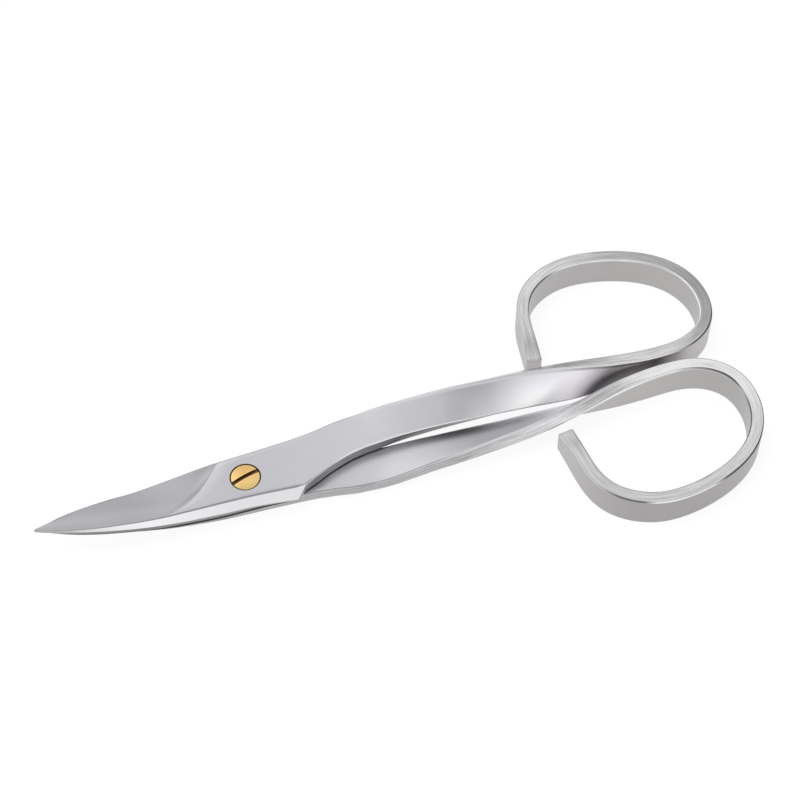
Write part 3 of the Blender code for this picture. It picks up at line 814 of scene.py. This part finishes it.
# Painted shade at the end of the buffed face, beside the other half: its border runs across the
# strip as the twist turns it
DARK_MIDDLE, DARK_PACE, DARK_BORDER, DARK_FADES, DARKEST = 49.3, 3.6, (2.2, 5.0), (58.3, 60.8), 0.70


def shank_shading(grey, along, around, lies_up):
    """The thumb half's shank, with painted light and shade: a highlight line at its edge, a slant
    of light, and shade at the twist's dark end.
    """
    line = (1.0 - ramp(around, *LINE_FADES)) * lies_up
    grey = mixed(line, grey, along_tone(along, EDGE_LINE_PAINTED_LIGHT))
    slant = (SLANT_GAIN * within(along, SLANT_RISE, SLANT_FALL) * (around - SLANT_MIDDLE)
             * (1.0 - line))
    closer = along.bench.maths("EXPONENT", (along - DARK_MIDDLE) / DARK_PACE)
    dark_end = ramp(around * closer, *DARK_BORDER) * (1.0 - ramp(along, *DARK_FADES))
    return scaled(grey, (1.0 + slant * lies_up) * (1.0 - DARKEST * dark_end * lies_up))


def satin_steel(bench, side):
    """The wide faces. The place round the strip tells the one that lies up from the other."""
    where, along, around = strip_marks(bench)
    lies_up = ramp(around * side, *LIES_UP)
    rolled = ramp(along + ROLLED_EARLIER_BELOW * (1.0 - lies_up), *ROLLED)
    fine = noise(where, (5.0, 9.0, 1.0), 4.0, 0.7)
    cloud = noise(where, (0.22, 0.5, 1.0))
    strokes = noise(where, (0.5, 12.0, 1.0), 2.0)
    # Painted reflection and shade: the face that lies up and the one that lies down have their own
    # greys
    grey = mixed(lies_up, along_tone(along, FACE_DOWN[side]), along_tone(along, FACE_UP[side]))
    if side > 0:
        grey = shank_shading(grey, along, around, lies_up)
    # A painted highlight: a brighter band beside the plunge line, where the grind comes out of the
    # steel
    share = grind_share(along, around)
    rim = ((1.0 - ramp(past_plunge(along, share), 0.5, 2.4)) * ramp(share, 0.02, 0.15)
           * ramp(around, 0.0, 0.3) * (1.0 - ramp(along, -1.5, 0.5)))
    grey = scaled(grey, 1.0 + 0.13 * rim)
    cast = mixed(rolled, BUFFED_CAST, ROLLED_CAST)
    colour = scaled(tinted(grey, cast), 0.91 + 0.11 * cloud + 0.07 * strokes)
    rough = 0.25 + 0.10 * cloud + 0.06 * fine + 0.08 * rolled
    return colour, rough, fine * 0.6 + strokes * 0.4, 0.004


def wheel_ground_steel(bench):
    """The wide grind: marks across it, dull where it is deep, fading out at the ridge, and lighter
    beside the plunge line, which is painted light.
    """
    where, along, around = strip_marks(bench)
    lines = noise(where, (9.0, 0.5, 1.0))
    cloud = noise(where, (0.35, 0.3, 1.0), 2.0)
    share = grind_share(along, around)
    deep = mixed(lines * 0.5 + cloud * 0.5, (0.445, 0.44, 0.47), (0.545, 0.54, 0.57))
    faint = mixed(lines, (0.595, 0.59, 0.62), (0.685, 0.68, 0.71))
    # Lighter towards the ridge, and beside the plunge line as a painted highlight
    fading = (ramp(around - 0.25 * (along + 15.0), 1.6, 4.2)
              + ramp(past_plunge(along, share), -1.2, -0.1) * (1.0 - ramp(share, 0.25, 0.60)))
    return mixed(fading, deep, faint), 0.29 + 0.08 * cloud + 0.05 * lines, lines, 0.003


# %% The narrow faces
def facet_steel(bench):
    """The narrow bright facet beside the cutting edge: painted shade darkens it towards the point.
    """
    where, along, around = strip_marks(bench)
    lines = noise(where, LINED)
    grey = along_tone(along - FACET_COUNTED_FROM, FACET)
    return tinted(scaled(grey, 0.95 + 0.10 * lines)), 0.20 + 0.08 * lines, lines, 0.002


def fine_steel(bench, dark, light, smooth_rough, lined_rough):
    """A thin face with marks along it, in a dark grey that is painted shade: the ridge over the
    facet, and the gap's rims.
    """
    lines = noise(strip_marks(bench)[0], LINED)
    colour = mixed(lines, (dark, dark, dark * 1.02), (light, light, light * 1.02))
    return colour, smooth_rough + (lined_rough - smooth_rough) * lines, lines, 0.002


def painted_shadow_line(along, around):
    """The painted shadow line on the finger half's blade, just under the edge of the other one."""
    start = along.bench.maths("MINIMUM", 0.85 + 0.050 * along, 0.95)    # higher at the point
    below = 0.0 - around - start
    thin = ramp(below, -0.02, 0.14) * (1.0 - 0.8 * ramp(below, 0.4, 0.7))
    return thin * within(along, (-18.0, -14.0), (4.0, 6.5))


def belt_ground_steel(bench, side):
    """The narrow sides of the strip: long belt marks, some deep, that catch the light, with painted
    shade between the halves.
    """
    where, along, around = strip_marks(bench)
    marks = noise(where, (0.16, 5.0, 1.0), 4.0, 0.65)
    hairs = noise(where, (0.4, 22.0, 1.0), 2.0)
    both = marks * 0.65 + hairs * 0.35
    share = ramp(both, 0.36, 0.64)
    ground = scaled(along_tone(along, BELT_GREY[side]), 0.70 + 0.56 * share)
    # Painted shade on the sides between the halves, darker towards the point
    shaded = (0.80 + 0.36 * share) * (1.0 - 0.3 * ramp(along, -8.0, -14.0))
    inside = ramp(around, 2.0, 4.0) * (1.0 - ramp(along, 45.0, 60.0))
    colour = tinted(mixed(inside, ground, scaled(along_tone(along, BETWEEN), shaded)))
    if side < 0:
        # A painted shadow: a near black line under the thumb half's edge
        shadow_tone = mixed(share, (0.01, 0.01, 0.01), (0.03, 0.03, 0.03))
        colour = mixed(painted_shadow_line(along, around), colour, shadow_tone)
    return colour, 0.22 + 0.20 * share, both, 0.012


# %% The rounded corners, and the screw's seat
def corner_painted_light_steel(bench, side):
    """The rounded corners of the strip: painted highlights in places, painted shade in others."""
    where, along, around = strip_marks(bench)
    cloud = noise(where, (0.25, 2.0, 1.0))
    grey = mixed(ramp(around, -1.4, -0.8), along_tone(along, MEETING_CORNER[side]),
                 along_tone(along, AWAY_CORNER[side]))
    grey = mixed(ramp(around, 2.0, 4.0), grey, along_tone(along, INNER_CORNER))
    # Painted shade on the corner that carries on the gap between the halves, 15 to 25 mm along
    corner_shade = ramp(around, 5.9, 6.3) * within(along, (15.0, 16.0), (20.0, 25.0))
    grey = tinted(scaled(grey, 1.0 - 0.94 * corner_shade))
    return scaled(grey, 0.78 + 0.40 * cloud), 0.16 + 0.12 * cloud, cloud, 0.003


def bored_steel(bench):
    """The drilled seat round the screw: painted shade, near black, and painted light, brighter at
    the front.
    """
    where = bench.node("ShaderNodeTexCoord", output="Object")
    grime = noise(where, (2500.0, 2500.0, 2500.0))
    seat_painted_shade = mixed(grime, (0.06, 0.05, 0.045), (0.16, 0.14, 0.12))
    seat_painted_light = mixed(grime, (0.50, 0.47, 0.43), (0.66, 0.63, 0.58))
    colour = mixed(ramp(where.split()[1], -0.6 * MM, -1.5 * MM), seat_painted_shade, seat_painted_light)
    return colour, 0.40 + 0.2 * grime, grime, 0.004


# %% Make the steels
steels = {"wheel_ground": finish("wheel_ground_steel", wheel_ground_steel),
          "facet": finish("bright_facet_steel", facet_steel),
          # The ridge's dark line and the gap's near black are painted shade
          "ridge": finish("ridge_steel", fine_steel, 0.27, 0.34, 0.26, 0.34),
          "gap": finish("oiled_gap_steel", fine_steel, 0.02, 0.06, 0.40, 0.60),
          "bored": finish("bored_steel", bored_steel)}
for own, side in (("thumb", 1), ("finger", -1)):
    for kind, recipe in (("satin", satin_steel), ("belt_ground", belt_ground_steel),
                         ("corner_painted_light", corner_painted_light_steel)):
        steels[own + " " + kind] = finish("%s_%s_steel" % (own, kind), recipe, side)
print("steel finishes:", ", ".join(steels))

# %% [markdown]
# The screw is gold-coloured, turned on a lathe and polished. Turning leaves rings round the
# axis, which is the Z axis of the frame, so the marks follow the distance from it.


# %% The screw's finishes
def turned_brass(bench):
    """Polished, with the lathe's faint rings, and painted light: lighter towards the front, darker
    at the back.
    """
    where = bench.node("ShaderNodeTexCoord", output="Object")
    radius = bench.node("ShaderNodeVectorMath", {0: tinted(where, (1.0, 1.0, 0.0))},
                        output="Value", operation="LENGTH")
    rings = noise(bench.node("ShaderNodeCombineXYZ", {"X": radius}), (16000.0, 1.0, 1.0), 2.0)
    cloud = noise(where, (900.0, 900.0, 900.0))
    share = cloud * 0.7 + rings * 0.3
    back_painted_shade = mixed(share, (0.84, 0.50, 0.19), (0.96, 0.64, 0.26))
    front_painted_light = mixed(share, (1.0, 0.67, 0.25), (1.0, 0.76, 0.32))
    colour = mixed(ramp(where.split()[1], 1.2 * MM, -1.6 * MM), back_painted_shade, front_painted_light)
    return colour, 0.16 + 0.12 * cloud, rings * 0.7 + cloud * 0.3, 0.003


def sawn_slot(bench):
    """The slot's walls and floor, where polish never reaches: brown and rough, and dark as painted
    shade in the slot.
    """
    grime = noise(bench.node("ShaderNodeTexCoord", output="Object"), (3000.0, 3000.0, 3000.0))
    return mixed(grime, (0.12, 0.06, 0.03), (0.36, 0.21, 0.11)), 0.45 + 0.2 * grime, grime, 0.005


brass, slot_brass = finish("turned_brass", turned_brass), finish("sawn_slot_brass", sawn_slot)
print("screw finishes:", brass.name, slot_brass.name)

# %% [markdown]
# ## Putting a half together
# The tree's result is taken as a plain mesh. The screw's hole and the sunk seat for its head
# are then cut with turned cutters, as a drill would, with a small chamfer at the rim. Last,
# the edges are told apart: a corner sharper than 30 degrees keeps its crease, and weighted
# normals keep the flat faces flat, so that their reflections are calm.

# %% Turned shapes
def turned_mesh(name, profile, steps=144):
    """Turn a profile of (radius, height) points round the screw's axis."""
    form = bmesh.new()
    corners = [form.verts.new((radius, 0.0, height)) for radius, height in profile]
    edges = [form.edges.new(pair) for pair in zip(corners, corners[1:])]
    bmesh.ops.spin(form, geom=corners + edges, axis=(0, 0, 1), cent=(0, 0, 0), dvec=(0, 0, 0),
                   angle=2 * math.pi, steps=steps, use_merge=True, use_duplicate=False)
    bmesh.ops.remove_doubles(form, verts=form.verts, dist=0.0005 * MM)
    bmesh.ops.recalc_face_normals(form, faces=form.faces)
    return to_mesh(form, name)


# %% Cuts, and the last touch on a piece
CREASE_ANGLE, CALM_WEIGHT = 30, 80


def cut(piece, name, tool):
    """Take a tool's shape out of a piece. The faces of the cut get the tool's own finish."""
    taken = piece.modifiers.new(name, "BOOLEAN")
    taken.material_mode = "TRANSFER"
    taken.operation, taken.object, taken.solver = "DIFFERENCE", tool, "EXACT"


def settle(piece):
    """Replace a piece's mesh by the result of its modifiers, and take these off."""
    held = bpy.context.evaluated_depsgraph_get()
    mesh = bpy.data.meshes.new_from_object(piece.evaluated_get(held), depsgraph=held)
    piece.modifiers.clear()
    piece.data = mesh


def crease(piece):
    """Creases where faces meet sharply, and calm normals on the faces between them."""
    for polygon in piece.data.polygons:
        polygon.use_smooth = True
    piece.data.set_sharp_from_angle(angle=math.radians(CREASE_ANGLE))
    calm = piece.modifiers.new("calm faces", "WEIGHTED_NORMAL")
    calm.keep_sharp, calm.weight = True, CALM_WEIGHT
    settle(piece)


# %% Make both halves
rolling = strip_tree()
strip_section = section_object()
sockets = {item.name: item.identifier for item in rolling.interface.items_tree
           if item.in_out == "INPUT"}
print("the strip's section has", len(strip_section.data.vertices), "points")
RIM_CHAMFER = 0.05 * MM
BORE = SCREW_RADIUS + SCREW_CLEARANCE
PAST = 0.5 * MM    # how far a drill reaches past the middle, so that it cuts clean through
WELD_DISTANCE = 0.002 * MM


def bore_profile(side):
    """What the drill takes: the thumb half has a sunk seat, the finger half a plain hole."""
    if side > 0:
        wide, face = HEAD_RADIUS + HEAD_CLEARANCE, 2 * MATING_HEIGHT
        seat = face - HEAD_DEPTH
        return [(0, face + MM), (wide + RIM_CHAMFER + MM, face + MM), (wide + RIM_CHAMFER, face),
                (wide, face - RIM_CHAMFER), (wide, seat), (BORE, seat),
                (BORE, MATING_HEIGHT - PAST), (0, MATING_HEIGHT - PAST)]
    return [(0, MATING_HEIGHT + PAST), (BORE, MATING_HEIGHT + PAST), (BORE, RIM_CHAMFER),
            (BORE + RIM_CHAMFER, 0), (BORE + RIM_CHAMFER, -MM), (0, -MM)]


def half(name, node, body, side):
    own = "thumb " if side > 0 else "finger "
    flat = shown(name + " flat part", flat_part(name + " flat part", side))
    for key in FINISHES:
        flat.data.materials.append(steels.get(key) or steels[own + key])
    path = path_object(name + " path", side)
    rolled = path.modifiers.new("roll the strip", "NODES")
    rolled.node_group = rolling
    for key, value in (("Section", strip_section), ("Flat part", flat), ("Side", float(side)),
                       ("Height of the pivot plane", MATING_HEIGHT),
                       ("Weld distance", WELD_DISTANCE),
                       ("Faces", steels[own + "satin"]), ("Edges", steels[own + "belt_ground"]),
                       ("Corners", steels[own + "corner_painted_light"])):
        rolled[sockets[key]] = value
    settle(path)
    form = bmesh.new()
    form.from_mesh(path.data)
    bmesh.ops.holes_fill(form, edges=[e for e in form.edges if e.is_boundary], sides=0)
    bmesh.ops.recalc_face_normals(form, faces=form.faces)
    open_edges = sum(not e.is_manifold for e in form.edges)
    volume = form.calc_volume(signed=True)
    form.to_mesh(path.data)
    form.free()
    print(name, "open edges", open_edges, "volume %.4f cm3" % (volume * 1e6))
    piece = shown(name, path.data)
    cutter = shown(name + " drill", turned_mesh(name + " drill", bore_profile(side)))
    cutter.data.materials.append(steels["bored"])
    cut(piece, "drill", cutter)
    settle(piece)
    for helper in (flat, path, cutter):
        bpy.data.objects.remove(helper)
    crease(piece)
    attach(piece, body)
    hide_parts(node)
    print(name, len(piece.data.polygons), "faces")


half("thumb_half_steel", "thumb_half", "thumb_side", 1)
half("finger_half_steel", "finger_half", "finger_side", -1)
bpy.data.objects.remove(strip_section)

# %% [markdown]
# ## The screw
# A slotted screw with a low dome. It is turned from one profile, then the slot is sawn with a
# flat cutter. The edges are broken by a hair, because a real slot is never razor sharp, and
# the thin rounding catches a line of light.


# %% Turn the screw and saw its slot
HEAD_SOFTNESS, SEAT_CHAMFER = 0.07 * MM, 0.03 * MM
TAIL_DIMPLE = ((0.35 * MM, 0.0), (0.25 * MM, 0.10 * MM), (0.0, 0.14 * MM))
DOME_STEPS, RIM_STEPS = 14, 4
SLOT_EDGE, SLOT_EDGE_ANGLE = 0.025 * MM, 50


def screw_profile():
    top = 2 * MATING_HEIGHT + DOME_PROUD
    rim = top - DOME_HEIGHT
    seat = 2 * MATING_HEIGHT - HEAD_DEPTH + SCREW_CLEARANCE
    soft = HEAD_SOFTNESS
    dome = (HEAD_RADIUS ** 2 + DOME_HEIGHT ** 2) / (2 * DOME_HEIGHT)
    spread = math.asin((HEAD_RADIUS - soft) / dome)
    profile = []
    for i in range(DOME_STEPS + 1):
        angle = spread * i / DOME_STEPS
        profile.append((dome * math.sin(angle), top - dome * (1 - math.cos(angle))))
    end_height = profile[-1][1]
    for i in range(1, RIM_STEPS + 1):
        angle = math.pi / 2 * i / RIM_STEPS
        profile.append((HEAD_RADIUS - soft + soft * math.sin(angle),
                        end_height - (soft + end_height - rim) * (1 - math.cos(angle))))
    return profile + [
        (HEAD_RADIUS, seat + SEAT_CHAMFER), (HEAD_RADIUS - SEAT_CHAMFER, seat),
        (SCREW_RADIUS, seat), (SCREW_RADIUS, TAIL_CHAMFER), (SCREW_RADIUS - TAIL_CHAMFER, 0.0),
        *TAIL_DIMPLE]


def slotted_screw(name, node, body):
    piece = shown(name, turned_mesh(name, screw_profile()))
    form = bmesh.new()
    bmesh.ops.create_cube(form, size=1.0)
    high = 2 * MM
    floor = 2 * MATING_HEIGHT + DOME_PROUD - SLOT_DEPTH
    bmesh.ops.scale(form, verts=form.verts, vec=(6 * MM, SLOT_WIDTH, high))
    bmesh.ops.translate(form, verts=form.verts, vec=(0, 0, floor + high / 2))
    bmesh.ops.rotate(form, verts=form.verts, cent=(0, 0, 0),
                     matrix=Matrix.Rotation(SLOT_TURN, 3, "Z"))
    saw = shown("slot saw", to_mesh(form, "slot saw"))
    piece.data.materials.append(brass)
    saw.data.materials.append(slot_brass)
    cut(piece, "slot", saw)
    broken = piece.modifiers.new("broken edges", "BEVEL")
    broken.width, broken.segments, broken.limit_method = SLOT_EDGE, 2, "ANGLE"
    broken.angle_limit = math.radians(SLOT_EDGE_ANGLE)
    settle(piece)
    bpy.data.objects.remove(saw)
    crease(piece)
    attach(piece, body)
    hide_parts(node)
    print(name, len(piece.data.polygons), "faces")


slotted_screw("pivot_screw_brass", "pivot_screw", "finger_side")

# %% [markdown]
# ## The studio
# The scissors lie on a white table under plain soft light. Polished metal shows the room, so
# the room is what gives it form: a bright wall in front, a darker ceiling, a window behind
# and one at the left, and a dark patch at the right. The table and the background are white
# to the camera, and to the metal too, while the table still takes the scissors' shadow.


# %% The table
TABLE_GREY, TABLE_GLOW = 0.15, 0.89


def table():
    low = cad_low.z - 0.02 * MM
    form = bmesh.new()
    bmesh.ops.create_grid(form, x_segments=1, y_segments=1, size=1.5)
    bmesh.ops.translate(form, verts=form.verts, vec=(0, 0, low))
    made = shown("table", to_mesh(form, "table"))
    material = bpy.data.materials.new("white_table")
    material.use_nodes = True
    bench = Bench(material.node_tree)
    material.node_tree.nodes.remove(material.node_tree.nodes["Principled BSDF"])
    path = bench.node("ShaderNodeLightPath").socket.node
    seen = [Wire(bench, path.outputs["Is %s Ray" % ray])
            for ray in ("Camera", "Glossy", "Transmission")]
    matt = bench.node("ShaderNodeBsdfDiffuse", {"Color": (TABLE_GREY,) * 3 + (1.0,)})
    glow = bench.node("ShaderNodeEmission", {
        "Color": (1.0,) * 4, "Strength": TABLE_GLOW * (seen[0] + seen[1] + seen[2])})
    both = bench.node("ShaderNodeAddShader", {0: matt, 1: glow})
    output = material.node_tree.nodes["Material Output"]
    material.node_tree.links.new(both.socket, output.inputs["Surface"])
    made.data.materials.append(material)


table()


# %% The room
ROOM_LIGHT = 0.56
# Each patch of wall: its direction, the angles at which it ends and is full, its strength
FRONT = ((0.05, -1.0, 0.14), 60, 24, 0.50)
BACK = ((0.15, 0.7, 0.95), 40, 12, 0.32)
LEFT = ((-0.8, 0.65, 0.65), 45, 12, 0.48)
FLAG = ((1.0, -0.1, 0.35), 40, 18, -0.38)


def room():
    world = bpy.data.worlds.new("studio")
    world.use_nodes = True
    bpy.context.scene.world = world
    bench = Bench(world.node_tree)
    towards = bench.node("ShaderNodeTexCoord", output="Generated")
    light = ROOM_LIGHT
    for direction, end, full, strength in (FRONT, BACK, LEFT, FLAG):
        facing = bench.node("ShaderNodeVectorMath", {0: towards, 1: Vector(direction).normalized()},
                            output="Value", operation="DOT_PRODUCT")
        end, full = math.cos(math.radians(end)), math.cos(math.radians(full))
        light = light + ramp(facing, end, full) * strength
    path = bench.node("ShaderNodeLightPath").socket.node
    seen = Wire(bench, path.outputs["Is Camera Ray"])
    strength = light * (1.0 - seen) + seen
    shader = world.node_tree.nodes["Background"]
    shader.inputs["Color"].default_value = (1.0,) * 4
    world.node_tree.links.new(strength.socket, shader.inputs["Strength"])
    print("the room has", len(world.node_tree.nodes), "nodes")


room()


# %% A soft lamp
lamp = bpy.data.lights.new("soft lamp", "AREA")
lamp.shape, lamp.size, lamp.energy = "DISK", 0.30, 1.2
lamp_stand = bpy.data.objects.new("soft lamp", lamp)
bpy.context.scene.collection.objects.link(lamp_stand)
lamp_place, lamp_aim = Vector((-0.15, 0.05, 0.60)), Vector((0.02, 0, 0))
lamp_stand.location = lamp_place
lamp_stand.rotation_euler = (lamp_aim - lamp_place).to_track_quat("-Z", "Y").to_euler()
lamp_stand.visible_glossy = False
print("lamp of", lamp.energy, "W")

# %% [markdown]
# ## The camera
# The photograph looks down at 55 degrees from in front, a little from the left, through a
# long lens. The screw's place in the picture fixes where the camera stands.

# %% Place the camera
PICTURE, SENSOR, HALF_PIXEL = 800, 36.0, 0.5
FOCUS, DISTANCE = 2188.0, 289.6 * MM    # the focal length is in pixels of the picture
DOWN, AROUND, TILT = math.radians(55.5), math.radians(17.69), math.radians(-0.2)
SCREW_PIXEL, SCREW_HEIGHT = (244.8, 476.3), 3.75 * MM
right = Vector((math.cos(AROUND), -math.sin(AROUND), 0.0))
ahead = Vector((math.sin(AROUND), math.cos(AROUND), 0.0))
looking = ahead * math.cos(DOWN) - Vector((0, 0, 1)) * math.sin(DOWN)
above = ahead * math.sin(DOWN) + Vector((0, 0, 1)) * math.cos(DOWN)
right, above = (right * math.cos(TILT) + above * math.sin(TILT),
                above * math.cos(TILT) - right * math.sin(TILT))
across, downward = [(pixel + HALF_PIXEL - PICTURE / 2) / FOCUS * DISTANCE for pixel in SCREW_PIXEL]
screw_middle = Vector((0.0, 0.0, SCREW_HEIGHT))
eye = screw_middle - (right * across - above * downward + looking * DISTANCE)
lens = bpy.data.cameras.new("camera")
lens.sensor_fit, lens.sensor_width = "HORIZONTAL", SENSOR
lens.lens = FOCUS * SENSOR / PICTURE
lens.clip_start = 0.01
camera = bpy.data.objects.new("camera", lens)
bpy.context.scene.collection.objects.link(camera)
turned = Matrix((right, above, -looking)).transposed().to_4x4()
camera.matrix_world = Matrix.Translation(eye) @ turned
bpy.context.scene.camera = camera
bpy.context.scene.view_settings.view_transform = "Standard"
print("camera at", [round(v, 4) for v in eye])
